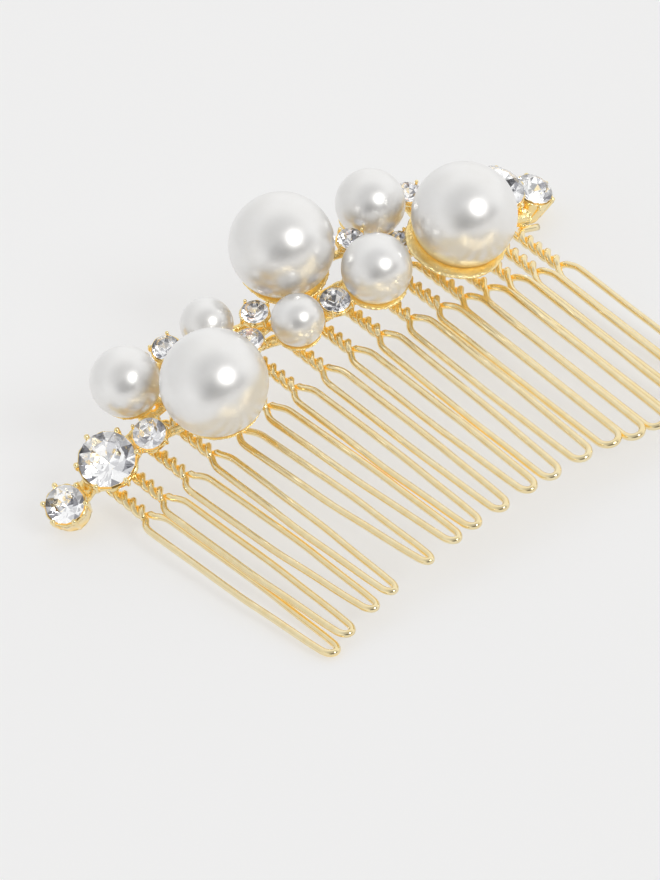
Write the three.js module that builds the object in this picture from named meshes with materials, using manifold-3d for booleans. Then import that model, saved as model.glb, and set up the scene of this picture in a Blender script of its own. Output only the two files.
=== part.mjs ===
// Decorative hair comb: a twisted-wire comb with a cast ornament frame, imitation pearls on
// pegs and clear stones in claw settings. Millimetres, +Z up.
//
// The row of teeth follows an arch, so most places are given as
//   along   arc length from the middle of the row, positive to the wearer's right
//   across  distance from the forks of the teeth, positive away from the tips
//   height  distance outside the arch on which the forks lie
import * as THREE from 'three';
import { mergeVertices } from 'three/addons/utils/BufferGeometryUtils.js';
import Module from 'manifold-3d';

const wasm = await Module();
wasm.setup();

// ---- driving dimensions ----
const ARCH_RADIUS = 86.8;
const WIRE_DIAMETER = 0.8;
const WIRE_SIDES = 5;
const TOOTH_LENGTH = 33;
const TIP_DROP = 2.2;
const FAN_CLOSE = 0.053;
const SPINE_ACROSS = 9.5;
const TWIST_LEAD = 3.4;
const TWIST_RADIUS = 0.46;
const TWIST_STEPS = 4;
const TWIST_START = SPINE_ACROSS - 0.5;
const TWIST_PAST_FORK = 0.35;
const STUB_STRAIGHT = 1.1;
const SHOULDERS = [[0.75, 0.7], [1, 1.9], [1, 3.4]];
const LEVELLING = 1.2;
const TAPER_LENGTH = 15;
const BEND_LENGTH = 1.5;
const BEND_STEPS = 3;
const CUT_END_LENGTH = 3.3;
const FIRST_STUB_LENGTH = 1.25;
const JOINT_GAP = 0.15;

// Teeth from left to right: gap to the tooth before, how far the tip leans, how far the fork
// lies from the common line, how much longer the tooth is than the rest, and half the width
// between its two legs at the shoulders and at the bend of the tip.
const FIRST_TOOTH = -29.5;
const TEETH = [
  [0, -0.3, 0.0, 0.3, 1.35, 0.85], [2.8, -0.3, 0.0, -0.1, 1.3, 0.85],
  [3.5, 0.2, 0.1, -0.2, 1.4, 0.75], [3.7, -0.5, -0.2, -0.2, 1.1, 0.7],
  [4.0, 0.9, -0.2, -0.1, 1.2, 0.6], [4.25, 0.7, 0.1, -0.1, 1.2, 0.8],
  [3.75, -0.1, 0.0, -0.1, 1.25, 0.85], [4.05, -0.3, 0.0, 0.1, 1.2, 0.9],
  [4.0, -0.15, 0.2, 0.0, 1.2, 0.9], [3.9, -0.7, 0.1, 0.1, 1.25, 1.0],
  [4.15, -0.3, 0.2, -0.1, 1.35, 1.1], [3.85, 0.0, -0.1, -0.1, 1.3, 1.2],
  [3.2, -0.1, -0.2, 0.4, 1.2, 1.15], [3.15, 0.1, -0.2, 0.2, 1.3, 1.2],
  [3.5, 0.2, 0.2, 0.0, 1.2, 1.1], [3.4, 0.4, 0.0, 0.1, 1.1, 1.0],
  [3.35, 0.7, 0.1, 0.2, 1.15, 1.0],
];

const PEARL_LEAN = THREE.MathUtils.degToRad(23);
const PEARLS = [
  { diameter: 8, along: -20.8, across: 10.9, height: 7.4 },
  { diameter: 12, along: -15.5, across: 0.1, height: 8.0 },
  { diameter: 6, along: -10.2, across: 11.0, height: 6.4 },
  { diameter: 6, along: -3.1, across: 4.1, height: 5.0 },
  { diameter: 12, along: 0.8, across: 11.7, height: 9.4 },
  { diameter: 8, along: 7.1, across: 3.7, height: 6.1 },
  { diameter: 8, along: 12.2, across: 12.6, height: 8.4 },
  { diameter: 12, along: 18.2, across: 3.4, height: 8.3 },
];
const PEARL_HOLE_RADIUS = 0.65;
const PEARL_HOLE_DEPTH = 0.5;
const PEG_RADIUS = 0.45;
const SEAT_GAP = 0.15;
const BOWL_RIM = 0.7;

// lean is the angle in degrees by which the setting faces the tips of the teeth; prongs is the
// number of claws, turn the angle of the first one, and deep how much the cup is deepened to
// reach the surface that the comb lies on.
const STONES = [
  { diameter: 4.5, along: -34.3, across: 8.0, height: 3.6, lean: 30, prongs: 6, turn: 10, deep: 1.5 },
  { diameter: 6.5, along: -28.0, across: 6.3, height: 5.0, lean: 30, prongs: 6, turn: 25, deep: 0 },
  { diameter: 3.8, along: -22.9, across: 5.6, height: 4.0, lean: 26, prongs: 4, turn: 20, deep: 0 },
  { diameter: 3.2, along: -15.3, across: 11.0, height: 7.3, lean: 22, prongs: 4, turn: 45, deep: 0 },
  { diameter: 3.2, along: -5.1, across: 10.0, height: 4.7, lean: 22, prongs: 4, turn: 0, deep: 0 },
  { diameter: 3.2, along: -7.9, across: 7.0, height: 4.2, lean: 22, prongs: 4, turn: 40, deep: 0 },
  { diameter: 3.5, along: 2.1, across: 4.9, height: 4.1, lean: 22, prongs: 4, turn: 45, deep: 0 },
  { diameter: 3.2, along: 7.7, across: 9.5, height: 7.2, lean: 22, prongs: 4, turn: 12, deep: 0 },
  { diameter: 3.2, along: 17.6, across: 13.5, height: 7.3, lean: 22, prongs: 4, turn: 30, deep: 0 },
  { diameter: 3.2, along: 12.8, across: 8.0, height: 5.1, lean: 22, prongs: 4, turn: 45, deep: 0 },
  { diameter: 6.5, along: 28.1, across: 12.0, height: 5.5, lean: 26, prongs: 6, turn: 0, deep: 0 },
  { diameter: 4.5, along: 33.9, across: 13.0, height: 3.8, lean: 28, prongs: 6, turn: 20, deep: 1.9 },
];

const BRIDGE_RADIUS = 0.6;
const PAD_THICKNESS = 0.5;
const PAD_GAP = 0.15;
const RIB_WIDTH = 2.0;
const RIB_BOTTOM = 1.7;
const RIB_TOP = 2.6;
const RIB_START = -32;
const RIB_END = 30.5;

// ---- materials ----
function material(color, roughness, metalness) {
  return new THREE.MeshStandardMaterial({ color, roughness, metalness });
}
const wireGold = () => material('#e2c068', 0.22, 1);
const castGold = () => material('#d9a83a', 0.32, 1);
const settingGold = () => material('#dcb04a', 0.25, 1);
const pearlCoat = () => material('#f1efec', 0.22, 0);
const crystal = () => material('#e9edf2', 0.04, 0);

// ---- places on the arch ----
function archPoint(along, across, height) {
  const turn = along / ARCH_RADIUS;
  const radius = ARCH_RADIUS + height;
  return new THREE.Vector3(radius * Math.sin(turn), across, radius * Math.cos(turn));
}

function seatFrame(piece, lean) {
  const position = archPoint(piece.along, piece.across, piece.height);
  const rotation = new THREE.Euler(lean, piece.along / ARCH_RADIUS, 0, 'YXZ');
  return { position, rotation };
}

function seatMatrix(piece, lean) {
  const { position, rotation } = seatFrame(piece, lean);
  const turn = new THREE.Quaternion().setFromEuler(rotation);
  return new THREE.Matrix4().compose(position, turn, new THREE.Vector3(1, 1, 1));
}

function seatPoint(piece, lean, below) {
  return new THREE.Vector3(0, 0, -below).applyMatrix4(seatMatrix(piece, lean));
}

const stoneLean = (stone) => THREE.MathUtils.degToRad(stone.lean);

// ---- solids ----
function toSolid(geometry, matrix) {
  const bare = geometry.clone();
  bare.deleteAttribute('normal');
  bare.deleteAttribute('uv');
  if (matrix) bare.applyMatrix4(matrix);
  const merged = mergeVertices(bare, 1e-5);
  const vertProperties = new Float32Array(merged.attributes.position.array);
  const triVerts = new Uint32Array(merged.index.array);
  return new wasm.Manifold(new wasm.Mesh({ numProp: 3, vertProperties, triVerts }));
}

function fromSolid(solid) {
  const mesh = solid.getMesh();
  const geometry = new THREE.BufferGeometry();
  geometry.setAttribute('position', new THREE.BufferAttribute(new Float32Array(mesh.vertProperties), 3));
  geometry.setIndex(new THREE.BufferAttribute(new Uint32Array(mesh.triVerts), 1));
  geometry.computeVertexNormals();
  return geometry;
}

// LatheGeometry turns about Y; this stands the profile up along Z.
function lathe(profile, sides) {
  const points = profile.map(([radius, z]) => new THREE.Vector2(radius, z));
  const geometry = new THREE.LatheGeometry(points, sides);
  return geometry.rotateX(Math.PI / 2);
}

function rod(from, to, radius, sides = 4) {
  const length = from.distanceTo(to);
  const geometry = new THREE.CylinderGeometry(radius, radius, length, sides);
  const direction = to.clone().sub(from).normalize();
  const turn = new THREE.Quaternion().setFromUnitVectors(new THREE.Vector3(0, 1, 0), direction);
  const middle = from.clone().lerp(to, 0.5);
  return toSolid(geometry, new THREE.Matrix4().compose(middle, turn, new THREE.Vector3(1, 1, 1)));
}

// ---- comb wire ----
// A path that is straight between its stations, with one section of the tube at each station.
class StationPath extends THREE.Curve {
  constructor(stations) {
    super();
    this.stations = stations;
  }

  getPoint(t, target = new THREE.Vector3()) {
    const place = Math.min(Math.max(t, 0), 1) * (this.stations.length - 1);
    const index = Math.min(Math.floor(place), this.stations.length - 2);
    return target.lerpVectors(this.stations[index], this.stations[index + 1], place - index);
  }

  getPointAt(t, target) {
    return this.getPoint(t, target);
  }

  getTangentAt(t, target) {
    return this.getTangent(t, target);
  }
}

function wireTube(stations) {
  const section = new THREE.Shape();
  for (let i = 0; i < WIRE_SIDES; i += 1) {
    const angle = (2 * Math.PI * i) / WIRE_SIDES;
    const x = (WIRE_DIAMETER / 2) * Math.cos(angle);
    const y = (WIRE_DIAMETER / 2) * Math.sin(angle);
    if (i === 0) section.moveTo(x, y);
    else section.lineTo(x, y);
  }
  section.closePath();
  const extrudePath = new StationPath(stations);
  return new THREE.ExtrudeGeometry(section, { steps: stations.length - 1, extrudePath, curveSegments: 1 });
}

// One side of a tooth from its spine end to the tip, as [side, across, lift] stations: side is
// measured from the tooth's centre line and lift out of the arch. The twist and the spine
// follow the arch; the legs below the fork are turned by level, which brings the teeth nearly
// parallel to each other.
function strandStations(stub, level, fork, tip, spread, bend) {
  const stations = [[-stub, SPINE_ACROSS, 0], [-STUB_STRAIGHT, SPINE_ACROSS, 0]];
  const twistEnd = fork + TWIST_PAST_FORK;
  const halfTurns = Math.round((TWIST_START - twistEnd) / (TWIST_LEAD / 2));
  const steps = Math.round((halfTurns * TWIST_STEPS) / 2);
  for (let i = 0; i <= steps; i += 1) {
    const angle = Math.PI + (Math.PI * halfTurns * i) / steps;
    const across = TWIST_START + ((twistEnd - TWIST_START) * i) / steps;
    stations.push([TWIST_RADIUS * Math.cos(angle), across, TWIST_RADIUS * Math.sin(angle)]);
  }
  const out = halfTurns % 2 === 0 ? -1 : 1;
  const leg = (half, across) => {
    stations.push([out * half * Math.cos(level), across, out * half * Math.sin(level)]);
  };
  SHOULDERS.forEach(([share, below]) => leg(share * spread, fork - below));
  leg(spread, tip + TAPER_LENGTH);
  for (let i = 0; i < BEND_STEPS; i += 1) {
    const angle = ((Math.PI / 2) * i) / BEND_STEPS;
    leg(bend * Math.cos(angle), tip + BEND_LENGTH * (1 - Math.sin(angle)));
  }
  return stations;
}

function toothGeometry(tooth) {
  const { along, lean, level, fork, tip, spread, bend } = tooth;
  const left = strandStations(tooth.leftStub, level, fork, tip, spread, bend);
  const mirrored = strandStations(tooth.rightStub, level, fork, tip, spread, bend);
  const right = mirrored.map(([side, across, lift]) => [-side, across, -lift]);
  const route = [...left, [0, tip, 0], ...right.reverse()];
  const stations = route.map(([side, across, lift]) => {
    const reach = Math.max(0, -across) / TOOTH_LENGTH;
    const centre = along + (lean - FAN_CLOSE * along) * reach;
    const height = (TIP_DROP * across) / TOOTH_LENGTH;
    return archPoint(centre + side, across, height + lift);
  });
  return wireTube(stations);
}

function combTeeth() {
  const meshes = [];
  let along = FIRST_TOOTH;
  TEETH.forEach(([gap, lean, fork, extra, spread, bend], index) => {
    along += gap;
    const next = TEETH[index + 1];
    const leftStub = index === 0 ? FIRST_STUB_LENGTH : gap / 2 - JOINT_GAP;
    const rightStub = next ? next[0] / 2 - JOINT_GAP : CUT_END_LENGTH;
    const tip = -(TOOTH_LENGTH + extra);
    const level = (LEVELLING * along) / ARCH_RADIUS;
    const tooth = { along, lean, level, fork, tip, spread, bend, leftStub, rightStub };
    const mesh = new THREE.Mesh(toothGeometry(tooth), wireGold());
    mesh.name = `tooth_${String(index + 1).padStart(2, '0')}`;
    meshes.push(mesh);
  });
  return meshes;
}

// ---- pearls ----
const roundSides = (diameter) => Math.round(8 + diameter * 0.6);

function pearlGeometry(diameter) {
  const radius = diameter / 2;
  const rings = Math.round(5 + 0.8 * radius);
  const sides = roundSides(diameter);
  const mouth = Math.asin(PEARL_HOLE_RADIUS / radius);
  const profile = [[0, -radius * PEARL_HOLE_DEPTH], [PEARL_HOLE_RADIUS, -radius * PEARL_HOLE_DEPTH]];
  for (let i = 0; i <= rings; i += 1) {
    const angle = mouth + ((Math.PI - mouth) * i) / rings;
    const around = i === rings ? 0 : radius * Math.sin(angle);
    profile.push([around, -radius * Math.cos(angle)]);
  }
  return lathe(profile, sides);
}

function pearls() {
  return PEARLS.map((pearl, index) => {
    const mesh = new THREE.Mesh(pearlGeometry(pearl.diameter), pearlCoat());
    mesh.name = `pearl_${String(index + 1).padStart(2, '0')}`;
    const { position, rotation } = seatFrame(pearl, PEARL_LEAN);
    mesh.position.copy(position);
    mesh.rotation.copy(rotation);
    return mesh;
  });
}

// ---- stones and their claw settings ----
const crownHeight = (radius) => 0.42 * radius;
const pavilionDepth = (radius) => 0.72 * radius;
const cupTop = (radius) => -0.12 * radius;
const cupDepth = (stone) => pavilionDepth(stone.diameter / 2) + 0.35 + stone.deep;

// A round brilliant: table, crown mains and girdle facets above, pavilion mains below.
function stoneGeometry(radius) {
  const sides = 8;
  const ring = (around, z, shift) => Array.from({ length: sides }, (_, i) => {
    const angle = (2 * Math.PI * (i + shift)) / sides;
    return [around * Math.cos(angle), around * Math.sin(angle), z];
  });
  const table = ring(0.55 * radius, crownHeight(radius), 0);
  const mid = ring(0.82 * radius, 0.6 * crownHeight(radius), 0.5);
  const girdleTop = ring(radius, 0.06 * radius, 0);
  const girdleLow = ring(radius, -0.04 * radius, 0);
  const points = [...table, ...mid, ...girdleTop, ...girdleLow];
  const top = points.push([0, 0, crownHeight(radius)]) - 1;
  const culet = points.push([0, 0, -pavilionDepth(radius)]) - 1;
  const faces = [];
  for (let i = 0; i < sides; i += 1) {
    const j = (i + 1) % sides;
    const [t, m, g, l] = [0, sides, 2 * sides, 3 * sides];
    faces.push(top, t + i, t + j);
    faces.push(t + i, m + i, t + j);
    faces.push(t + i, m + ((i + sides - 1) % sides), g + i, t + i, g + i, m + i);
    faces.push(m + i, g + i, g + j);
    faces.push(g + i, l + i, l + j, g + i, l + j, g + j);
    faces.push(culet, l + j, l + i);
  }
  const geometry = new THREE.BufferGeometry();
  geometry.setAttribute('position', new THREE.Float32BufferAttribute(points.flat(), 3));
  geometry.setIndex(faces);
  geometry.computeVertexNormals();
  return geometry;
}

function clawSolid(radius, angle, base) {
  const profile = [[0, base], [0.24, base], [0.24, 0.2], [0.32, 0.45], [0, 0.66]];
  const out = radius + 0.24;
  const place = new THREE.Matrix4().makeTranslation(out * Math.cos(angle), out * Math.sin(angle), 0);
  return toSolid(lathe(profile, 5), place);
}

function settingGeometry(stone) {
  const radius = stone.diameter / 2;
  const depth = cupDepth(stone);
  const wall = -0.35 * pavilionDepth(radius) - 0.3;
  const floor = -pavilionDepth(radius) - 0.15;
  const profile = [[0, -depth], [0.5 * radius, -depth], [radius + 0.16, wall]];
  profile.push([radius + 0.16, cupTop(radius)], [0.93 * radius, cupTop(radius)], [0, floor]);
  const turn = THREE.MathUtils.degToRad(stone.turn);
  let solid = toSolid(lathe(profile, 12), new THREE.Matrix4().makeRotationZ(turn));
  for (let i = 0; i < stone.prongs; i += 1) {
    const angle = turn + (2 * Math.PI * i) / stone.prongs;
    solid = solid.add(clawSolid(radius, angle, wall));
  }
  return fromSolid(solid);
}

function stonesAndSettings() {
  const meshes = [];
  STONES.forEach((stone, index) => {
    const number = String(index + 1).padStart(2, '0');
    const { position, rotation } = seatFrame(stone, stoneLean(stone));
    const gem = new THREE.Mesh(stoneGeometry(stone.diameter / 2 - 0.05), crystal());
    gem.name = `stone_${number}`;
    const setting = new THREE.Mesh(settingGeometry(stone), settingGold());
    setting.name = `setting_${number}`;
    for (const mesh of [gem, setting]) {
      mesh.position.copy(position);
      mesh.rotation.copy(rotation);
      meshes.push(mesh);
    }
  });
  return meshes;
}

// ---- cast frame ----
function bowlSolid(pearl) {
  const radius = pearl.diameter / 2;
  const bottom = -radius - 0.5;
  const rim = -BOWL_RIM * radius;
  const profile = [[0, bottom], [0.3 * radius, bottom], [0.62 * radius, -0.94 * radius]];
  profile.push([0.84 * radius, rim], [0, rim]);
  return toSolid(lathe(profile, roundSides(pearl.diameter)), seatMatrix(pearl, PEARL_LEAN));
}

// The room that the pearl and a little clearance take out of the bowl and of the bridges.
function pearlRoom(pearl) {
  const pocket = pearl.diameter / 2 + SEAT_GAP;
  const profile = [];
  for (const degrees of [0, 24, 46, 90]) {
    const angle = THREE.MathUtils.degToRad(degrees);
    profile.push([pocket * Math.sin(angle), -pocket * Math.cos(angle)]);
  }
  profile.push([0, 0]);
  return toSolid(lathe(profile, roundSides(pearl.diameter)), seatMatrix(pearl, PEARL_LEAN));
}

// The same for a claw setting.
function settingRoom(stone) {
  const radius = stone.diameter / 2;
  const bottom = -cupDepth(stone) - PAD_GAP;
  const wide = radius + 0.65;
  const profile = [[0, bottom], [0.5 * radius + 0.1, bottom], [wide, -0.35 * pavilionDepth(radius) - 0.5]];
  profile.push([wide, crownHeight(radius)], [0, crownHeight(radius)]);
  return toSolid(lathe(profile, 8), seatMatrix(stone, stoneLean(stone)));
}

function pegSolid(pearl) {
  const radius = pearl.diameter / 2;
  const foot = new THREE.Vector3(0, 0, -radius - SEAT_GAP - 0.25);
  const top = new THREE.Vector3(0, 0, -radius * PEARL_HOLE_DEPTH - SEAT_GAP);
  return rod(foot, top, PEG_RADIUS).transform(seatMatrix(pearl, PEARL_LEAN).elements);
}

const pearlFoot = (pearl) => seatPoint(pearl, PEARL_LEAN, pearl.diameter / 2 + 0.1);

function stoneFoot(stone) {
  const below = cupDepth(stone) + PAD_GAP + PAD_THICKNESS / 2;
  return seatPoint(stone, stoneLean(stone), below);
}

function padSolid(stone) {
  const top = -cupDepth(stone) - PAD_GAP;
  const radius = 0.5 * (stone.diameter / 2);
  const pad = lathe([[0, top - PAD_THICKNESS], [radius, top - PAD_THICKNESS], [radius, top], [0, top]], 8);
  return toSolid(pad, seatMatrix(stone, stoneLean(stone)));
}

function ribSolid() {
  const steps = 12;
  const corners = [];
  for (let i = 0; i <= steps; i += 1) {
    const along = RIB_START + ((RIB_END - RIB_START) * i) / steps;
    corners.push([along, RIB_BOTTOM], [along, RIB_TOP]);
  }
  const lower = corners.filter((_, i) => i % 2 === 0).map(([along, height]) => archPoint(along, 0, height));
  const upper = corners.filter((_, i) => i % 2 === 1).map(([along, height]) => archPoint(along, 0, height));
  const outline = [...lower, ...upper.reverse()].map((point) => new THREE.Vector2(point.x, point.z));
  const extrusion = { depth: RIB_WIDTH, bevelEnabled: false };
  const geometry = new THREE.ExtrudeGeometry(new THREE.Shape(outline), extrusion);
  geometry.rotateX(Math.PI / 2);
  geometry.translate(0, SPINE_ACROSS + RIB_WIDTH / 2, 0);
  return toSolid(geometry);
}

// Bridges between neighbouring seats, named p for a pearl's bowl and s for a stone's pad.
const BRIDGES = [
  'p1 p2', 'p1 p3', 'p2 s3', 'p3 s4', 'p3 s5', 'p2 s6', 's6 p4', 'p4 p5', 'p4 s7', 's7 p6', 'p6 s8',
  'p6 s10', 's10 p8', 'p7 s9', 's1 s2', 's2 s3', 's11 s12', 'p8 s11',
];

function seatFoot(name) {
  const number = Number(name.slice(1)) - 1;
  return name[0] === 'p' ? pearlFoot(PEARLS[number]) : stoneFoot(STONES[number]);
}

function ribPoint(along) {
  const inside = Math.min(Math.max(along, RIB_START + 1), RIB_END - 1);
  return archPoint(inside, SPINE_ACROSS, (RIB_BOTTOM + RIB_TOP) / 2 + 0.1);
}

function frameGeometry() {
  const parts = [ribSolid()];
  for (const pearl of PEARLS) {
    parts.push(bowlSolid(pearl), rod(pearlFoot(pearl), ribPoint(pearl.along), BRIDGE_RADIUS));
  }
  for (const stone of STONES) {
    parts.push(padSolid(stone), rod(stoneFoot(stone), ribPoint(stone.along), BRIDGE_RADIUS));
  }
  for (const bridge of BRIDGES) {
    const [from, to] = bridge.split(' ').map(seatFoot);
    parts.push(rod(from, to, BRIDGE_RADIUS));
  }
  const rooms = wasm.Manifold.union([...PEARLS.map(pearlRoom), ...STONES.map(settingRoom)]);
  const pegs = wasm.Manifold.union(PEARLS.map(pegSolid));
  return fromSolid(wasm.Manifold.union(parts).subtract(rooms).add(pegs));
}

function castFrame() {
  const mesh = new THREE.Mesh(frameGeometry(), castGold());
  mesh.name = 'cast_frame';
  return mesh;
}

// ---- assembly ----
const comb = new THREE.Group();
comb.add(...combTeeth(), castFrame(), ...pearls(), ...stonesAndSettings());

// The origin is below the middle of the comb, on the surface that it lies on.
const extent = new THREE.Box3().setFromObject(comb, true);
const middle = extent.getCenter(new THREE.Vector3());
comb.position.set(-middle.x, -middle.y, -extent.min.z);

const assembly = new THREE.Group();
assembly.add(comb);
assembly.updateMatrixWorld(true);

export default assembly;
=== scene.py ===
import math

import bpy
import numpy as np
from mathutils import Matrix, Vector, noise


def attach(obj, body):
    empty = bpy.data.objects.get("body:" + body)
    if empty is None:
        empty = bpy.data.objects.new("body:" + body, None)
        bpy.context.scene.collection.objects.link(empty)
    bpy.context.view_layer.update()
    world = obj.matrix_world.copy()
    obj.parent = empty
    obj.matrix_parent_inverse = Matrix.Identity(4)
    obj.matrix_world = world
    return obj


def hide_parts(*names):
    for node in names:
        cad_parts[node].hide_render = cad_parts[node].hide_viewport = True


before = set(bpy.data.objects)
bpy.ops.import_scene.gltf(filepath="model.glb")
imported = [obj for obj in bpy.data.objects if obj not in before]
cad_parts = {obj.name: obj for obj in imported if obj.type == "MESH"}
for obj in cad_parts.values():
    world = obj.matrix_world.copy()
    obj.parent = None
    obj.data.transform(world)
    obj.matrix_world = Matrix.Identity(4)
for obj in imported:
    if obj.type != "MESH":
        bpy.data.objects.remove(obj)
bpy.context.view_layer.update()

# Lengths are in millimetres until a mesh is written. Places on the comb are given as
#   along   arc length from the middle of the row, positive to the wearer's right
#   across  distance from the forks of the teeth, positive away from the tips
#   height  distance outside the arch on which the forks lie
ARCH_RADIUS = 86.8
SHIFT = np.array([0.0848, 7.9603, -79.4391])

WIRE_RADIUS = 0.4
WIRE_SIDES = 14
TOOTH_LENGTH = 33.0
TIP_DROP = 2.2
FAN_CLOSE = 0.053
SPINE_ACROSS = 9.5
TWIST_LEAD = 3.4
TWIST_RADIUS = 0.44
TWIST_START = SPINE_ACROSS - 0.5
TWIST_PAST_FORK = 0.35
STEPS_IN_HALF_TURN = 9
FADE_IN_STEPS = 5
STUB_STRAIGHT = 1.15
SHOULDER_END = 3.4
LEVELLING = 1.2
TAPER_LENGTH = 15.0
BEND_LENGTH = 1.5
BEND_STEPS = 9
WANDER = 0.04
FIRST_STUB_LENGTH = 1.4
CUT_END_LENGTH = 3.3

# Teeth from left to right: gap to the tooth before, how far the tip leans, how far the fork lies
# from the common line, how much longer the tooth is than the rest, and half the width between its
# two legs at the shoulders and at the bend of the tip.
FIRST_TOOTH = -29.5
TEETH = [
    (0, -0.3, 0.0, 0.3, 1.35, 0.85), (2.8, -0.3, 0.0, -0.1, 1.3, 0.85),
    (3.5, 0.2, 0.1, -0.2, 1.4, 0.75), (3.7, -0.5, -0.2, -0.2, 1.1, 0.7),
    (4.0, 0.9, -0.2, -0.1, 1.2, 0.6), (4.25, 0.7, 0.1, -0.1, 1.2, 0.8),
    (3.75, -0.1, 0.0, -0.1, 1.25, 0.85), (4.05, -0.3, 0.0, 0.1, 1.2, 0.9),
    (4.0, -0.15, 0.2, 0.0, 1.2, 0.9), (3.9, -0.7, 0.1, 0.1, 1.25, 1.0),
    (4.15, -0.3, 0.2, -0.1, 1.35, 1.1), (3.85, 0.0, -0.1, -0.1, 1.3, 1.2),
    (3.2, -0.1, -0.2, 0.4, 1.2, 1.15), (3.15, 0.1, -0.2, 0.2, 1.3, 1.2),
    (3.5, 0.2, 0.2, 0.0, 1.2, 1.1), (3.4, 0.4, 0.0, 0.1, 1.1, 1.0),
    (3.35, 0.7, 0.1, 0.2, 1.15, 1.0),
]

# rim is the radius of the bowl's rim as a share of the pearl's, wall the thickness of its metal,
# flare how much further the bowl reaches on one side, and flare_way that side in degrees.
PEARL_LEAN = math.radians(23)
PEARLS = [
    dict(diameter=8, along=-20.8, across=10.9, height=7.4, rim=0.84, wall=0.40, flare=0.0, flare_way=0),
    dict(diameter=12, along=-15.5, across=0.1, height=8.0, rim=0.84, wall=0.40, flare=0.0, flare_way=0),
    dict(diameter=6, along=-10.2, across=11.0, height=6.4, rim=0.86, wall=0.40, flare=0.0, flare_way=0),
    dict(diameter=6, along=-3.1, across=4.1, height=5.0, rim=0.92, wall=0.42, flare=0.0, flare_way=0),
    dict(diameter=12, along=0.8, across=11.7, height=9.4, rim=0.82, wall=0.42, flare=0.14, flare_way=285),
    dict(diameter=8, along=7.1, across=3.7, height=6.1, rim=0.94, wall=0.65, flare=0.0, flare_way=0),
    dict(diameter=8, along=12.2, across=12.6, height=8.4, rim=0.84, wall=0.40, flare=0.0, flare_way=0),
    dict(diameter=12, along=18.2, across=3.4, height=8.3, rim=0.95, wall=0.65, flare=0.20, flare_way=212),
]
PEARL_HOLE_RADIUS = 0.65
PEARL_HOLE_DEPTH = 0.5
PEG_RADIUS = 0.45
BOWL_CLEARANCE = 0.06
METAL_CLEARANCE = 0.05

# lean is the angle in degrees by which the setting faces the tips of the teeth, prongs the number
# of claws, turn the angle of the first one, deep how much the cup is deepened to reach the surface
# that the comb lies on, base the radius of the cup's foot as a share of the stone's (SLIM_BASE
# where it isn't given), and sunk how much lower than usual its claws end.
STONES = [
    dict(diameter=4.5, along=-34.3, across=8.0, height=3.6, lean=30, prongs=6, turn=10, deep=1.5,
         base=0.95),
    dict(diameter=6.5, along=-28.0, across=6.3, height=5.0, lean=30, prongs=6, turn=25, base=0.75),
    dict(diameter=3.8, along=-22.9, across=5.6, height=4.0, lean=26, prongs=4, turn=20),
    dict(diameter=3.2, along=-15.3, across=11.0, height=7.3, lean=22, prongs=4, turn=45),
    dict(diameter=3.2, along=-5.1, across=10.0, height=4.7, lean=22, prongs=4, turn=0),
    dict(diameter=3.2, along=-7.9, across=7.0, height=4.2, lean=22, prongs=4, turn=40),
    dict(diameter=3.5, along=2.1, across=4.9, height=4.1, lean=22, prongs=4, turn=45),
    dict(diameter=3.2, along=7.7, across=9.5, height=7.2, lean=22, prongs=4, turn=12),
    dict(diameter=3.2, along=17.6, across=13.5, height=7.3, lean=22, prongs=4, turn=30),
    dict(diameter=3.2, along=12.8, across=8.0, height=5.1, lean=22, prongs=4, turn=45),
    dict(diameter=6.5, along=28.1, across=12.0, height=5.5, lean=26, prongs=6, turn=0, sunk=0.8),
    dict(diameter=4.5, along=33.9, across=13.0, height=3.8, lean=28, prongs=6, turn=20, deep=1.9,
         base=0.9, sunk=0.7),
]
SLIM_BASE = 0.55
STONE_CLEARANCE = 0.03
CUP_DEPTH = 0.72
CUP_FLOOR = 0.35
CROWN_HEIGHT = 0.34
PAVILION_DEPTH = 0.78
TABLE_WIDTH = 0.56
HALF_GIRDLE = 0.03

PAD_GAP = 0.15
PAD_THICKNESS = 0.5
RIB_RADIUS = 0.55
BRIDGE_RADIUS = 0.55
PEARL_BAR_RADIUS = 0.62
STONE_BAR_RADIUS = 0.58
# Bars that are thicker than the rest: from a stone's foot to the rib, or from piece to piece.
STOUT_BARS = {"s11 s12": 0.95, "p8 s11": 0.85, "s11": 0.9, "s12": 0.95, "s1": 0.8, "s1 s2": 0.7}
RIB_START, RIB_END = -32.0, 30.5
RIB_END_MARGIN = 0.6
RIB_HEIGHT = 2.2
# The bars between neighbours, by pearl (p) and stone (s) number.
BRIDGES = [
    "p1 p2", "p1 p3", "p2 s3", "p3 s4", "p3 s5", "p2 s6", "s6 p4", "p4 p5", "p4 s7", "s7 p6", "p6 s8",
    "p6 s10", "s10 p8", "p7 s9", "s1 s2", "s2 s3", "s11 s12", "p8 s11", "p5 s8", "s5 p4", "p7 s8",
    "s10 p7", "p1 s3", "p1 s4",
]

# The casting: the grain to which its parts run together, in metres, and its dents, each as how
# many there are to a millimetre and how deep they go.
VOXEL_SIZE = 0.00016
DENTS = [(1.1, 0.06), (3.1, 0.055)]


# ---- places on the arch ----
def arch(along, across, height):
    turn = along / ARCH_RADIUS
    radius = ARCH_RADIUS + height
    return np.array([radius * math.sin(turn), across, radius * math.cos(turn)]) + SHIFT


def seat(item, lean):
    point = Vector(arch(item["along"], item["across"], item["height"]))
    turn = Matrix.Rotation(item["along"] / ARCH_RADIUS, 4, "Y") @ Matrix.Rotation(lean, 4, "X")
    return Matrix.Translation(point) @ turn


def seat_of(item):
    return seat(item, math.radians(item["lean"]) if "lean" in item else PEARL_LEAN)


def cup_depth(stone):
    return CUP_DEPTH * stone["diameter"] / 2 + CUP_FLOOR + stone.get("deep", 0)


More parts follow.
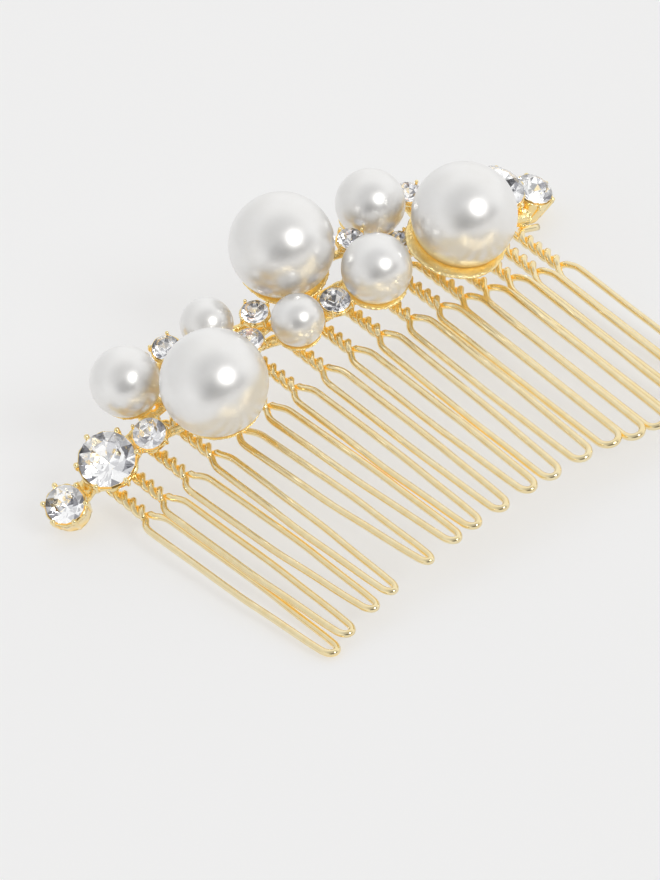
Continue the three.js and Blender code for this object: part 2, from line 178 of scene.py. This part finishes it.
# ---- mesh code ----
class Shell:
    """Vertices and faces of one piece, in millimetres."""

    def __init__(self):
        self.verts, self.faces, self.slots = [], [], []

    def add(self, verts, faces, slot=0, matrix=None):
        start = len(self.verts)
        if matrix is not None:
            verts = [matrix @ Vector(v) for v in verts]
        self.verts += [tuple(v) for v in verts]
        self.faces += [tuple(start + i for i in face) for face in faces]
        self.slots += [slot] * len(faces) if isinstance(slot, int) else list(slot)

    def object(self, name, materials, smooth=True):
        mesh = bpy.data.meshes.new(name)
        mesh.from_pydata([tuple(0.001 * c for c in v) for v in self.verts], [], self.faces)
        for item in materials:
            mesh.materials.append(item)
        mesh.polygons.foreach_set("material_index", self.slots)
        mesh.polygons.foreach_set("use_smooth", [smooth] * len(self.faces))
        mesh.update()
        piece = bpy.data.objects.new(name, mesh)
        bpy.context.scene.collection.objects.link(piece)
        return piece


def lathe(profile, sides, wave=None):
    """A closed surface of revolution about Z. The profile starts and ends on the axis. wave gives a
    factor on the radius from the angle and the point's place in the profile."""
    verts = [(0.0, 0.0, profile[0][1])]
    for step, (radius, z) in enumerate(profile[1:-1]):
        for i in range(sides):
            angle = 2 * math.pi * i / sides
            r = radius * (wave(angle, step) if wave else 1.0)
            verts.append((r * math.cos(angle), r * math.sin(angle), z))
    verts.append((0.0, 0.0, profile[-1][1]))
    rings, last = len(profile) - 2, len(verts) - 1
    faces = []
    for i in range(sides):
        j = (i + 1) % sides
        faces.append((0, 1 + j, 1 + i))
        for ring in range(rings - 1):
            a, b = 1 + ring * sides, 1 + (ring + 1) * sides
            faces.append((a + i, a + j, b + j, b + i))
        top = 1 + (rings - 1) * sides
        faces.append((top + i, top + j, last))
    return verts, faces


def tube(points, radii, sides):
    """A round closed tube along points, with one radius for each point."""
    points = [np.asarray(p, float) for p in points]
    count = len(points)
    tangents = []
    for i in range(count):
        step = points[min(i + 1, count - 1)] - points[max(i - 1, 0)]
        tangents.append(step / (np.linalg.norm(step) + 1e-12))
    side = np.cross(tangents[0], [0.31, 0.17, 0.93])
    side /= np.linalg.norm(side)
    verts, faces = [], []
    for i in range(count):
        side = side - tangents[i] * np.dot(side, tangents[i])
        side /= np.linalg.norm(side)
        up = np.cross(tangents[i], side)
        for k in range(sides):
            angle = 2 * math.pi * k / sides
            verts.append(points[i] + radii[i] * (math.cos(angle) * side + math.sin(angle) * up))
    for i in range(count - 1):
        for k in range(sides):
            j = (k + 1) % sides
            faces.append((i * sides + k, i * sides + j, (i + 1) * sides + j, (i + 1) * sides + k))
    faces.append(tuple(reversed(range(sides))))
    faces.append(tuple((count - 1) * sides + k for k in range(sides)))
    return verts, faces


def ball(centre, radius, sides=12):
    rings = sides // 2
    profile = [(radius * math.sin(math.pi * i / rings), -radius * math.cos(math.pi * i / rings))
               for i in range(rings + 1)]
    profile[0], profile[-1] = (0.0, -radius), (0.0, radius)
    verts, faces = lathe(profile, sides)
    return [tuple(np.array(v) + np.asarray(centre)) for v in verts], faces


def smooth_line(points, per_span):
    """A Catmull-Rom curve through the points."""
    p = [np.asarray(q, float) for q in points]
    p = [2 * p[0] - p[1]] + p + [2 * p[-1] - p[-2]]
    line = []
    for i in range(1, len(p) - 2):
        for k in range(per_span):
            t = k / per_span
            line.append(0.5 * (2 * p[i] + (p[i + 1] - p[i - 1]) * t
                               + (2 * p[i - 1] - 5 * p[i] + 4 * p[i + 1] - p[i + 2]) * t * t
                               + (3 * p[i] - p[i - 1] - 3 * p[i + 1] + p[i + 2]) * t ** 3))
    line.append(p[-2])
    return line


# ---- materials ----
# How far the crevices of the gold reach, the colour that the metal is deepened to in them as painted
# shade, and the colour of the painted glow in them, which stands in for the light thrown to and fro
# between their walls.
CREVICE_REACH = 0.0014
PAINTED_CREVICE_SHADE = (0.97, 0.73, 0.30)
PAINTED_CREVICE_GLOW = (0.95, 0.60, 0.14)
BLACK, WHITE = (0.0, 0.0, 0.0), (1.0, 1.0, 1.0)


class Nodes:
    """A material or world being wired up."""

    def __init__(self, owner):
        owner.use_nodes = True
        self.tree = owner.node_tree
        self.tree.nodes.clear()

    def new(self, kind, **inputs):
        node = self.tree.nodes.new(kind)
        for key, value in inputs.items():
            name = key.replace("_", " ")
            socket = node.inputs[name]
            if hasattr(value, "is_output"):
                self.tree.links.new(value, socket)
            else:
                socket.default_value = value
        return node

    def link(self, out, into):
        self.tree.links.new(out, into)

    def noise(self, scale, detail=3.0, roughness=0.5):
        coordinates = self.new("ShaderNodeTexCoord")
        node = self.new("ShaderNodeTexNoise", Scale=scale, Detail=detail, Roughness=roughness)
        self.link(coordinates.outputs["Object"], node.inputs["Vector"])
        return node.outputs["Fac"]

    def ramp(self, factor, low, high, bottom=0.0, top=1.0):
        node = self.new("ShaderNodeMapRange", Value=factor)
        node.inputs["From Min"].default_value = low
        node.inputs["From Max"].default_value = high
        node.inputs["To Min"].default_value = bottom
        node.inputs["To Max"].default_value = top
        return node.outputs["Result"]

    def mix(self, factor, a, b):
        node = self.tree.nodes.new("ShaderNodeMix")
        node.data_type = "RGBA"
        self.link(factor, node.inputs[0])
        for socket, value in ((node.inputs[6], a), (node.inputs[7], b)):
            if hasattr(value, "is_output"):
                self.link(value, socket)
            else:
                socket.default_value = (*value, 1.0)
        return node.outputs[2]

    def bump(self, height, strength, distance, below=None):
        node = self.new("ShaderNodeBump", Height=height, Strength=strength, Distance=distance)
        if below is not None:
            self.link(below, node.inputs["Normal"])
        return node.outputs["Normal"]

    def surface(self, shader):
        out = self.new("ShaderNodeOutputMaterial")
        self.link(shader, out.inputs["Surface"])


def gold(name, pale, deep, rough_low, rough_high, grain, depth, painted_crevice_glow):
    """Gold plating whose colour and gloss wander a little, over a grained surface. Its crevices are
    painted: their colour is deepened to amber as painted shade, and painted_crevice_glow is the strength
    of the amber glow painted into them in place of the light thrown from gold to gold."""
    item = bpy.data.materials.new(name)
    n = Nodes(item)
    patch = n.noise(700.0, 4.0, 0.6)
    shader = n.new("ShaderNodeBsdfPrincipled", Metallic=1.0)
    # Painted shade and glow: the more the gold is hemmed in by itself, the deeper its painted amber and
    # the stronger its painted glow.
    crevice = n.new("ShaderNodeAmbientOcclusion", Distance=CREVICE_REACH)
    crevice.samples = 8
    is_open = n.ramp(crevice.outputs["AO"], 0.30, 0.85)
    metal = n.mix(n.ramp(patch, 0.3, 0.7), deep, pale)
    n.link(n.mix(is_open, PAINTED_CREVICE_SHADE, metal), shader.inputs["Base Color"])
    n.link(n.mix(is_open, PAINTED_CREVICE_GLOW, BLACK), shader.inputs["Emission Color"])
    shader.inputs["Emission Strength"].default_value = painted_crevice_glow
    n.link(n.ramp(n.noise(1500.0, 3.0), 0.3, 0.7, rough_low, rough_high), shader.inputs["Roughness"])
    fine = n.bump(n.noise(grain, 3.0, 0.6), 1.0, depth)
    n.link(n.bump(n.noise(grain / 5, 2.0), 1.0, depth * 2.5, fine), shader.inputs["Normal"])
    n.surface(shader.outputs["BSDF"])
    return item


def nacre(name):
    """Imitation pearl: a soft coat with faint cloudiness over a white bead."""
    item = bpy.data.materials.new(name)
    n = Nodes(item)
    shader = n.new("ShaderNodeBsdfPrincipled", Metallic=0.66, IOR=1.6)
    cloud = n.ramp(n.noise(260.0, 4.0, 0.55), 0.3, 0.7)
    base = n.mix(cloud, (0.86, 0.85, 0.83), (0.90, 0.895, 0.885))
    n.link(base, shader.inputs["Base Color"])
    n.link(n.ramp(n.noise(900.0, 2.0), 0.3, 0.7, 0.285, 0.33), shader.inputs["Roughness"])
    shader.inputs["Coat Weight"].default_value = 0.2
    shader.inputs["Coat Roughness"].default_value = 0.14
    shader.inputs["Coat IOR"].default_value = 1.5
    n.link(n.bump(n.noise(420.0, 2.0), 0.12, 0.00002), shader.inputs["Normal"])
    n.surface(shader.outputs["BSDF"])
    return item


def cut_glass(name):
    """Clear polished glass, faintly cool in places."""
    item = bpy.data.materials.new(name)
    n = Nodes(item)
    shader = n.new("ShaderNodeBsdfPrincipled", Metallic=0.0, IOR=1.5)
    shader.inputs["Transmission Weight"].default_value = 1.0
    n.link(n.mix(n.noise(500.0, 2.0), (0.97, 0.975, 0.985), WHITE), shader.inputs["Base Color"])
    n.link(n.ramp(n.noise(2500.0, 2.0), 0.3, 0.7, 0.0, 0.03), shader.inputs["Roughness"])
    n.surface(shader.outputs["BSDF"])
    return item


def foil(name, tone, painted_facet_glow):
    """The mirror foil behind one facet of a stone, in a painted tone; painted_facet_glow is the strength
    of a painted glow of the facet, which is no lamp.
    """
    item = bpy.data.materials.new(name)
    n = Nodes(item)
    shader = n.new("ShaderNodeBsdfPrincipled", Metallic=1.0)
    weaker = tuple(0.94 * c for c in tone)
    shader.inputs["Emission Color"].default_value = (*tone, 1.0)
    shader.inputs["Emission Strength"].default_value = painted_facet_glow
    n.link(n.mix(n.ramp(n.noise(900.0, 2.0), 0.3, 0.7), tone, weaker), shader.inputs["Base Color"])
    n.link(n.ramp(n.noise(3000.0, 2.0), 0.3, 0.7, 0.04, 0.12), shader.inputs["Roughness"])
    n.surface(shader.outputs["BSDF"])
    return item


# The last number of each gold is the strength of the painted glow in its crevices.
WIRE_GOLD = gold("wire_gold", (0.935, 0.82, 0.54), (0.91, 0.74, 0.41),
                 0.06, 0.13, 3500.0, 0.000003, 0.15)
CAST_GOLD = gold("cast_gold", (1.00, 0.86, 0.52), (0.98, 0.76, 0.33),
                 0.17, 0.26, 2200.0, 0.000160, 0.21)
CLAW_GOLD = gold("claw_gold", (0.98, 0.85, 0.52), (0.95, 0.76, 0.37),
                 0.10, 0.20, 2600.0, 0.000010, 0.13)
PEARL_COAT = nacre("pearl_coat")
CUT_GLASS = cut_glass("cut_glass")
# Painted light in the stones: the bright, grey and dark foils stand in for lit and shaded reflections in
# the facets, the warm one is a painted orange glint, and each foil's last number is its painted glow.
FOILS = [
    foil("foil_bright", (0.99, 0.99, 0.99), 0.22), foil("foil_grey", (0.82, 0.82, 0.84), 0.06),
    foil("foil_dark", (0.42, 0.42, 0.45), 0.01), foil("foil_painted_glint", (0.98, 0.72, 0.60), 0.20),
]
# The share of the pavilion facets that have this foil or one before it.
FOIL_SHARES = [0.54, 0.80, 0.97, 1.0]


def place(piece, node):
    """Hands a finished piece over in the place of its CAD node."""
    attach(piece, "root")
    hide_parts(node)


# ---- comb wire ----
def twist(stub, end, half_turns):
    """The spine end and the twisted neck of one strand, as (side, across, lift) points. The first
    steps are kept flatter, where the strand comes out of the spine."""
    inner = (-stub + (stub - STUB_STRAIGHT) * i / 4 for i in range(4))
    points = [(side, SPINE_ACROSS, 0.0) for side in inner]
    points += [(-STUB_STRAIGHT, SPINE_ACROSS, 0.0), (-0.8, SPINE_ACROSS - 0.07, 0.0)]
    steps = half_turns * STEPS_IN_HALF_TURN
    for i in range(steps + 1):
        angle = math.pi + math.pi * half_turns * i / steps
        fade = min(1.0, 0.55 + 0.45 * i / FADE_IN_STEPS)
        across = TWIST_START + (end - TWIST_START) * i / steps
        side = TWIST_RADIUS * math.cos(angle)
        points.append((side, across, TWIST_RADIUS * fade * math.sin(angle)))
    return points


def leg(fork, tip, spread, bend):
    """Half the width of a tooth from its fork to its tip, as (half, across, 0) points."""
    straight = fork - SHOULDER_END
    taper = tip + TAPER_LENGTH
    halves = smooth_line([
        (TWIST_RADIUS + 0.14, fork - 0.05, 0.0), (0.72 * spread, fork - 0.62, 0.0),
        (0.93 * spread, fork - 1.35, 0.0), (spread, fork - 2.2, 0.0),
        (spread, straight, 0.0), (spread, (straight + taper) / 2, 0.0),
        (0.985 * spread + 0.015 * bend, taper, 0.0),
        (0.6 * spread + 0.4 * bend, taper - 0.4 * (TAPER_LENGTH - BEND_LENGTH), 0.0),
        (0.25 * spread + 0.75 * bend, tip + 0.25 * TAPER_LENGTH, 0.0),
        (bend, tip + BEND_LENGTH, 0.0)], 4)
    for i in range(1, BEND_STEPS):
        angle = math.pi / 2 * i / BEND_STEPS
        halves.append((bend * math.cos(angle), tip + BEND_LENGTH * (1 - math.sin(angle)), 0.0))
    return halves


def strand(stub, level, fork, tip, spread, bend, seed):
    """One side of a tooth from its spine end to the tip, as (side, across, lift) points. level is
    the angle by which the plane of its legs is turned back from the tangent of the arch."""
    end = fork + TWIST_PAST_FORK
    half_turns = round((TWIST_START - end) / (TWIST_LEAD / 2))
    points = twist(stub, end, half_turns)
    out = -1 if half_turns % 2 == 0 else 1
    for half, across, _ in leg(fork, tip, spread, bend):
        wander = WANDER * noise.noise((seed * 3.7, across * 0.13, out * 5.0))
        wander *= max(0.0, min(1.0, (across - tip) / 6, (fork - across) / 3))
        half += out * wander
        points.append((out * half * math.cos(level), across, out * half * math.sin(level)))
    return points


def tooth(index, along, lean, fork, tip, spread, bend, left_stub, right_stub):
    """One wire that runs down the left strand, round the tip and back up the right strand."""
    level = LEVELLING * along / ARCH_RADIUS
    left = strand(left_stub, level, fork, tip, spread, bend, index)
    mirrored = strand(right_stub, level, fork, tip, spread, bend, index + 40)
    right = [(-s, a, -l) for s, a, l in mirrored]
    route = left + [(0.0, tip, 0.0)] + right[::-1]
    line = []
    for side, across, lift in route:
        reach = max(0.0, -across) / TOOTH_LENGTH
        centre = along + (lean - FAN_CLOSE * along) * reach
        line.append(arch(centre + side, across, TIP_DROP * across / TOOTH_LENGTH + lift))
    shell = Shell()
    shell.add(*tube(line, [WIRE_RADIUS] * len(line), WIRE_SIDES))
    return shell.object(f"comb_tooth_{index + 1:02d}", [WIRE_GOLD])


def comb_teeth():
    along = FIRST_TOOTH
    for index, (gap, lean, fork, extra, spread, bend) in enumerate(TEETH):
        along += gap
        after = TEETH[index + 1][0] if index + 1 < len(TEETH) else None
        left_stub = gap / 2 if index else FIRST_STUB_LENGTH
        right_stub = after / 2 if after else CUT_END_LENGTH
        tip = -(TOOTH_LENGTH + extra)
        piece = tooth(index, along, lean, fork, tip, spread, bend, left_stub, right_stub)
        place(piece, f"tooth_{index + 1:02d}")


# ---- pearls ----
def pearls():
    for index, pearl in enumerate(PEARLS):
        radius = pearl["diameter"] / 2
        mouth = math.asin(PEARL_HOLE_RADIUS / radius)
        floor = -radius * PEARL_HOLE_DEPTH
        profile = [(0.0, floor), (PEARL_HOLE_RADIUS, floor)]
        rings = 44
        for i in range(rings + 1):
            angle = mouth + (math.pi - mouth) * i / rings
            profile.append((radius * math.sin(angle), -radius * math.cos(angle)))
        profile[-1] = (0.0, radius)
        shell = Shell()
        verts, faces = lathe(profile, 72)
        shell.add(verts, faces, 0, seat_of(pearl))
        piece = shell.object(f"bead_{index + 1:02d}", [PEARL_COAT])
        place(piece, f"pearl_{index + 1:02d}")


# ---- stones ----
def chaton(radius, seed):
    """A round stone with an eight-sided table, 24 crown facets, a thin girdle and 32 pavilion
    facets: (vertices, faces, which material each face has)."""
    pick = np.random.RandomState(seed)
    table = TABLE_WIDTH * radius
    top, belt = CROWN_HEIGHT * radius, HALF_GIRDLE * radius
    culet = -PAVILION_DEPTH * radius

    def ring(r, z, count, shift):
        return [(r * math.cos(2 * math.pi * (i + shift) / count),
                 r * math.sin(2 * math.pi * (i + shift) / count), z) for i in range(count)]

    middle = 0.5 * radius
    middle_z = culet * (1 - middle * math.cos(math.pi / 8) / radius)
    verts = ring(table, top, 8, 0.5) + ring(radius, belt, 16, 0) + ring(radius, -belt, 16, 0)
    verts += ring(middle, middle_z, 8, 0.5) + [(0.0, 0.0, culet)]
    # The first vertex of the table, of the girdle's upper and lower edge, of the pavilion's middle
    # ring, and the culet.
    t, g, b, m, c = 0, 8, 24, 40, 48
    faces, slots = [tuple(range(8))], [0]
    for i in range(8):
        h = (i + 7) % 8
        g0, g1, g2 = 2 * i, 2 * i + 1, (2 * i + 2) % 16
        front = [(t + i, t + h, g + g0), (t + i, g + g0, g + g1), (t + i, g + g1, g + g2)]
        back = [(g + g0, b + g0, b + g1, g + g1), (g + g1, b + g1, b + g2, g + g2),
                (m + i, m + h, b + g0), (m + i, b + g0, b + g1), (m + i, b + g1, b + g2),
                (m + h, m + i, c)]
        faces += front + back
        slots += [0] * len(front) + [1, 1]
        slots += [1 + int(np.searchsorted(FOIL_SHARES, pick.rand())) for _ in back[2:]]
    return verts, faces, slots


def claws(stone):
    """The cup and its claws, about the seat's own axis."""
    radius = stone["diameter"] / 2
    depth = cup_depth(stone)
    turn = math.radians(stone["turn"])
    count = stone["prongs"]
    large = radius > 2
    post = 0.25 if large else 0.17
    tip = 0.33 if large else 0.21
    sunk = stone.get("sunk", 0.0)
    wall = radius + 0.14
    rim = -0.12 * radius
    base = stone.get("base", SLIM_BASE) * radius
    gallery = -0.35 * CUP_DEPTH * radius - 0.3
    profile = [(0.0, -depth), (base, -depth), (base + 0.12, -depth + 0.12), (base + 0.1, -depth + 0.3),
               (0.5 * (base + wall), 0.5 * (gallery - depth)), (wall, gallery),
               (wall + 0.05, gallery + 0.15), (wall, gallery + 0.3), (wall, rim),
               (wall - 0.06, rim + 0.06), (wall - 0.13, rim), (0.93 * radius, rim - 0.05),
               (0.0, -0.80 * radius - 0.05)]

    # Only the wall between the foot and the rim is ribbed.
    def ribs(angle, step):
        return 1.0 + (0.025 * math.cos(2 * count * (angle - turn)) if 2 <= step <= 7 else 0.0)

    shell = Shell()
    shell.add(*lathe(profile, 48, ribs))
    for i in range(count):
        angle = turn + 2 * math.pi * i / count
        way = np.array([math.cos(angle), math.sin(angle), 0.0])
        lift = 0.05 * noise.noise((stone["along"], i * 2.3, 1.0))
        foot = way * (base + 0.05) + [0, 0, -depth + 0.2]
        knee = way * (wall + 0.12) + [0, 0, gallery]
        neck = way * (radius + 0.24) + [0, 0, -0.02 * radius - sunk]
        head = way * (radius + 0.17) + [0, 0, 0.10 + 0.07 * radius + lift - sunk]
        line = smooth_line([foot, knee, neck, head], 5)
        sizes = [post * (0.8 + 0.2 * k / (len(line) - 1)) for k in range(len(line))]
        shell.add(*tube(line, sizes, 10))
        shell.add(*ball(head, tip, 14))
    return shell


def stones_and_settings():
    for index, stone in enumerate(STONES):
        matrix = seat_of(stone)
        shell = Shell()
        verts, faces, slots = chaton(stone["diameter"] / 2 - STONE_CLEARANCE, 11 + 3 * index)
        spin = Matrix.Rotation(0.4 + 1.7 * index, 4, "Z")
        shell.add(verts, faces, slots, matrix @ spin)
        gem = shell.object(f"crystal_{index + 1:02d}", [CUT_GLASS] + FOILS, smooth=False)
        place(gem, f"stone_{index + 1:02d}")
        cup = claws(stone)
        cup.verts = [tuple(matrix @ Vector(v)) for v in cup.verts]
        piece = cup.object(f"claw_cup_{index + 1:02d}", [CLAW_GOLD])
        place(piece, f"setting_{index + 1:02d}")


# ---- cast frame ----
def bowl(pearl):
    """A cup that holds the pearl from below, open towards the seat's +Z."""
    radius = pearl["diameter"] / 2
    inner = radius + BOWL_CLEARANCE
    outer = radius + pearl["wall"]
    rim = pearl["rim"] * radius
    side = math.asin(rim / outer)
    profile = [(0.0, -outer - 0.05)]
    for share in (0.25, 0.5, 0.75, 0.92):
        profile.append((outer * math.sin(side * share), -outer * math.cos(side * share)))
    rim_z = -outer * math.cos(side)
    lip = min(0.34, pearl["wall"] - 0.06)
    profile += [(rim, rim_z), (rim - 0.1, rim_z + 0.1), (rim - lip, rim_z + 0.04)]
    start = math.asin(min(0.95, (rim - lip - 0.05) / inner))
    for share in (0.9, 0.66, 0.4):
        profile.append((inner * math.sin(start * share), -inner * math.cos(start * share)))
    profile.append((0.0, -inner))
    way = math.radians(pearl["flare_way"])
    # From the bottom of the outer side up to the lip; the inner side has no flare.
    flare_shares = (0.3, 0.6, 0.8, 0.9, 1.0, 0.85)

    def reach(angle, step):
        share = flare_shares[step] if step < len(flare_shares) else 0.0
        return 1.0 + pearl["flare"] * share * max(0.0, math.cos(angle - way))

    return lathe(profile, 56, reach)


def foot_of(name):
    """The point under a pearl or stone, such as p1 or s1, that its bars run to."""
    item = (PEARLS if name[0] == "p" else STONES)[int(name[1:]) - 1]
    radius = item["diameter"] / 2
    below = radius + 0.15 if name[0] == "p" else cup_depth(item) + PAD_GAP + PAD_THICKNESS / 2
    return np.array(seat_of(item) @ Vector((0, 0, -below)))


def rib_point(along):
    inside = min(max(along, RIB_START + RIB_END_MARGIN), RIB_END - RIB_END_MARGIN)
    return arch(inside, SPINE_ACROSS, RIB_HEIGHT)


def strut(a, b, radius):
    """A bar that is thickest where it runs into its neighbours."""
    steps = 10
    points, sizes = [], []
    for i in range(steps + 1):
        t = i / steps
        points.append(a + (b - a) * t)
        sizes.append(radius * (0.82 + 0.9 * (t - 0.5) ** 2 * 2))
    return tube(points, sizes, 12)


def cast_frame():
    shell = Shell()
    spans = 40
    stations = (RIB_START + (RIB_END - RIB_START) * i / spans for i in range(spans + 1))
    rib = [arch(along, SPINE_ACROSS, RIB_HEIGHT) for along in stations]
    shell.add(*tube(rib, [RIB_RADIUS] * len(rib), 12))
    for index, pearl in enumerate(PEARLS):
        verts, faces = bowl(pearl)
        shell.add(verts, faces, 0, seat_of(pearl))
        name = f"p{index + 1}"
        shell.add(*strut(foot_of(name), rib_point(pearl["along"]), PEARL_BAR_RADIUS))
        radius = pearl["diameter"] / 2
        peg = [(0, 0, -radius - 0.3), (0, 0, -radius * PEARL_HOLE_DEPTH - 0.2)]
        line = [np.array(seat_of(pearl) @ Vector(p)) for p in peg]
        peg_line = [line[0] + (line[1] - line[0]) * k / 4 for k in range(5)]
        shell.add(*tube(peg_line, [PEG_RADIUS] * len(peg_line), 12))
    for index, stone in enumerate(STONES):
        name = f"s{index + 1}"
        top = -cup_depth(stone) + 0.03
        wide = 0.5 * stone["diameter"] / 2
        bottom = top - PAD_GAP - PAD_THICKNESS
        pad = [(0.0, bottom), (wide, bottom), (wide + 0.05, bottom + 0.3), (wide, top), (0.0, top)]
        verts, faces = lathe(pad, 24)
        shell.add(verts, faces, 0, seat_of(stone))
        thick = STOUT_BARS.get(name, STONE_BAR_RADIUS)
        shell.add(*strut(foot_of(name), rib_point(stone["along"]), thick))
    for bridge in BRIDGES:
        first, second = bridge.split()
        thick = STOUT_BARS.get(bridge, BRIDGE_RADIUS)
        shell.add(*strut(foot_of(first), foot_of(second), thick))
    return shell


def clear_of_pearls(points):
    """Moves points that lie inside a pearl or just above its skin out to a small clearance."""
    for pearl in PEARLS:
        centre = arch(pearl["along"], pearl["across"], pearl["height"])
        keep = pearl["diameter"] / 2 + METAL_CLEARANCE
        away = points - centre
        distance = np.linalg.norm(away, axis=1)
        matrix = np.array(seat_of(pearl))[:3, :3]
        local = away @ matrix
        near_peg = np.hypot(local[:, 0], local[:, 1]) < PEARL_HOLE_RADIUS
        inside = (distance < keep) & ~near_peg
        points[inside] = centre + away[inside] * (keep / distance[inside])[:, None]
    return points


def with_modifiers_applied(piece):
    """Gives the piece the mesh that its modifiers make, and takes them off."""
    graph = bpy.context.evaluated_depsgraph_get()
    mesh = bpy.data.meshes.new_from_object(piece.evaluated_get(graph))
    piece.modifiers.clear()
    piece.data = mesh
    return mesh


def read_vectors(vertices, attribute):
    """One row of three numbers for each vertex."""
    values = np.empty(len(vertices) * 3)
    vertices.foreach_get(attribute, values)
    return values.reshape(-1, 3)


def finished_frame():
    """The parts of the frame run together as one casting, with a slightly uneven surface."""
    piece = cast_frame().object("ornament_frame", [CAST_GOLD])
    remesh = piece.modifiers.new("cast", "REMESH")
    remesh.mode = "VOXEL"
    remesh.voxel_size = VOXEL_SIZE
    mesh = with_modifiers_applied(piece)
    mesh.materials.clear()
    mesh.materials.append(CAST_GOLD)
    soften = piece.modifiers.new("soften", "SMOOTH")
    soften.factor = 0.5
    soften.iterations = 3
    mesh = with_modifiers_applied(piece)
    points = read_vectors(mesh.vertices, "co") * 1000
    normals = read_vectors(mesh.vertices, "normal")
    for i, p in enumerate(points):
        rough = sum(noise.noise(Vector(p) * fine) * depth for fine, depth in DENTS)
        points[i] = p + normals[i] * rough
    points = clear_of_pearls(points)
    mesh.vertices.foreach_set("co", (points * 0.001).ravel())
    mesh.polygons.foreach_set("use_smooth", [True] * len(mesh.polygons))
    mesh.update()
    place(piece, "cast_frame")


# ---- camera, light and floor ----
# The camera looks at the comb from the front left and from above. CAMERA_FROM_FORKS is measured
# from the top of the arch on which the forks lie.
CAMERA_FROM_FORKS = np.array([-175.60, -371.48, 287.79])
CAMERA_AT = CAMERA_FROM_FORKS + arch(0.0, 0.0, 0.0)
TOWARDS_CAMERA = Vector((-0.3370, -0.7359, 0.5873)).normalized()
CAMERA_UP = Vector((0.4898, 0.3957, 0.7769)).normalized()
CAMERA_RIGHT = CAMERA_UP.cross(TOWARDS_CAMERA).normalized()


def camera():
    data = bpy.data.cameras.new("camera")
    data.sensor_fit = "VERTICAL"
    data.sensor_height = 36.0
    data.lens = 185.03
    data.clip_start, data.clip_end = 0.01, 20.0
    view = bpy.data.objects.new("camera", data)
    up = TOWARDS_CAMERA.cross(CAMERA_RIGHT)
    turn = Matrix((CAMERA_RIGHT, up, TOWARDS_CAMERA)).transposed().to_4x4()
    view.matrix_world = Matrix.Translation(Vector(CAMERA_AT) * 0.001) @ turn
    bpy.context.scene.collection.objects.link(view)
    bpy.context.scene.camera = view


def key_light():
    """A soft lamp in front of the comb and above it."""
    data = bpy.data.lights.new("key", "SUN")
    data.energy = 0.95
    data.angle = math.radians(19)
    data.color = (1.0, 0.99, 0.975)
    lamp = bpy.data.objects.new("key", data)
    lamp.rotation_euler = Vector((0.181, -0.812, 0.555)).to_track_quat("Z", "Y").to_euler()
    bpy.context.scene.collection.objects.link(lamp)


# Dimmer parts of the white studio: the direction as towards, right and up from the camera's view,
# the cosines at which the dimming starts and is complete, and the brightness left.
DIM_PARTS = [
    ((0.95, 0.05, 0.22), 0.45, 0.86, 0.58),
    ((0.90, 0.10, -0.43), 0.80, 0.96, 0.30),
    ((0.52, 0.82, -0.22), 0.82, 0.96, 0.30),
    ((-0.25, -0.89, 0.25), 0.45, 0.92, 0.78),
]


def surroundings():
    """A white studio all round, with its dimmer parts."""
    world = bpy.data.worlds.new("studio")
    bpy.context.scene.world = world
    n = Nodes(world)
    coordinates = n.new("ShaderNodeTexCoord")
    colour = None
    for (towards, right, up), start, full, left in DIM_PARTS:
        way = (towards * TOWARDS_CAMERA + right * CAMERA_RIGHT + up * CAMERA_UP).normalized()
        facing = n.new("ShaderNodeVectorMath")
        facing.operation = "DOT_PRODUCT"
        n.link(coordinates.outputs["Generated"], facing.inputs[0])
        facing.inputs[1].default_value = way
        part = n.ramp(facing.outputs["Value"], start, full, 1.0, left)
        if colour is None:
            colour = part
        else:
            both = n.new("ShaderNodeMath")
            both.operation = "MULTIPLY"
            n.link(colour, both.inputs[0])
            n.link(part, both.inputs[1])
            colour = both.outputs[0]
    tone = n.mix(colour, BLACK, WHITE)
    back = n.new("ShaderNodeBackground", Strength=0.98)
    n.link(tone, back.inputs["Color"])
    out = n.new("ShaderNodeOutputWorld")
    n.link(back.outputs["Background"], out.inputs["Surface"])


def floor():
    """A sheet of thin paper that light also comes through from below, so that shadows stay faint."""
    item = bpy.data.materials.new("paper_floor")
    n = Nodes(item)
    # The part lit from above is cool and the part lit from below warm, so that the open floor is neutral
    # while shaded floor turns warm: painted warm light, in place of the light that the gold throws onto
    # the paper.
    cloud = n.mix(n.noise(40.0, 3.0), (0.795, 0.86, 0.925), (0.805, 0.87, 0.935))
    lit = n.new("ShaderNodeBsdfDiffuse", Color=cloud)
    n.link(n.bump(n.noise(3000.0, 3.0), 0.2, 0.00003), lit.inputs["Normal"])
    through = n.new("ShaderNodeBsdfTranslucent", Color=(0.998, 0.957, 0.916, 1.0))
    both = n.new("ShaderNodeMixShader", Fac=0.62)
    n.link(lit.outputs["BSDF"], both.inputs[1])
    n.link(through.outputs["BSDF"], both.inputs[2])
    n.surface(both.outputs["Shader"])
    shell = Shell()
    half, steps = 1500.0, 12
    verts = [(-half + 2 * half * i / steps, -half + 2 * half * j / steps, 0.0)
             for j in range(steps + 1) for i in range(steps + 1)]
    wide = steps + 1
    faces = [(j * wide + i, j * wide + i + 1, (j + 1) * wide + i + 1, (j + 1) * wide + i)
             for j in range(steps) for i in range(steps)]
    shell.add(verts, faces)
    shell.object("floor", [item])


def build():
    bpy.context.scene.view_settings.view_transform = "Standard"
    camera()
    surroundings()
    key_light()
    floor()
    comb_teeth()
    pearls()
    stones_and_settings()
    finished_frame()


build()
